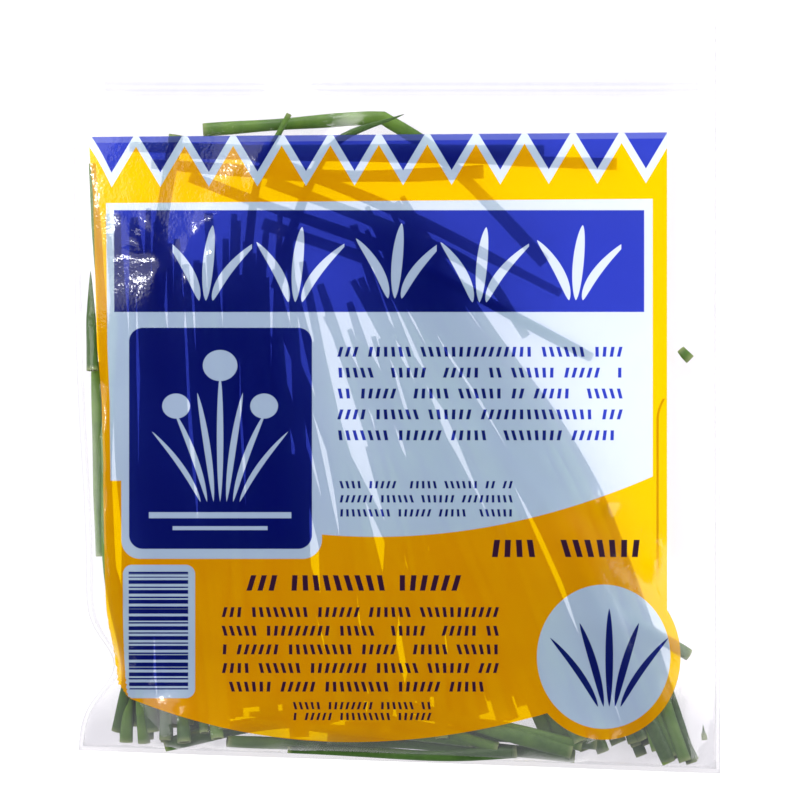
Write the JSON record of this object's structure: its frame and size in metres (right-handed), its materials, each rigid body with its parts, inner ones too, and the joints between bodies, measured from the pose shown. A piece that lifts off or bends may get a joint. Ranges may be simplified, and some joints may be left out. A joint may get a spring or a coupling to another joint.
{
  "type": "bagged chive bunch",
  "caption": "Bunch of cut chives in a flat clear press-to-close pouch, lying on its back with the printed front face up.",
  "frame": {"origin": "middle of the pouch's outline at the height of the surface it lies on", "axes": "+Y along the pouch towards its mouth, +Z out of the printed front, +X to the right as the front is read"},
  "size_m": [0.15, 0.1788, 0.0131],
  "materials": {
    "pouch_film": "clear glossy film, front wall printed in translucent yellow, blue and white ink",
    "zip": "translucent extruded strip",
    "chive": "satin fresh leaf, stands in for plant tissue"
  },
  "bodies": {
    "root": {"pouch_film": "pouch_film", "zip_rib": "zip", "zip_channel": "zip", "chive_bunch": "chive", "chive_top_row_1": "chive", "chive_top_row_2": "chive", "chive_top_row_3": "chive", "chive_top_row_4": "chive", "chive_top_row_5": "chive", "chive_top_row_6": "chive", "chive_top_row_7": "chive", "chive_panel_slant": "chive", "chive_upright_top": "chive", "chive_thin_top": "chive", "chive_crossing_top": "chive", "chive_left_edge_1": "chive", "chive_left_edge_2": "chive", "chive_left_edge_3": "chive", "chive_left_edge_4": "chive", "chive_right_end": "chive", "chive_bottom_slant": "chive", "chive_bottom_row_1": "chive", "chive_bottom_row_2": "chive", "chive_bottom_row_3": "chive", "chive_crumb_side": "chive", "chive_crumb_corner": "chive", "chive_bent_top": "chive"}
  },
  "joints": []
}
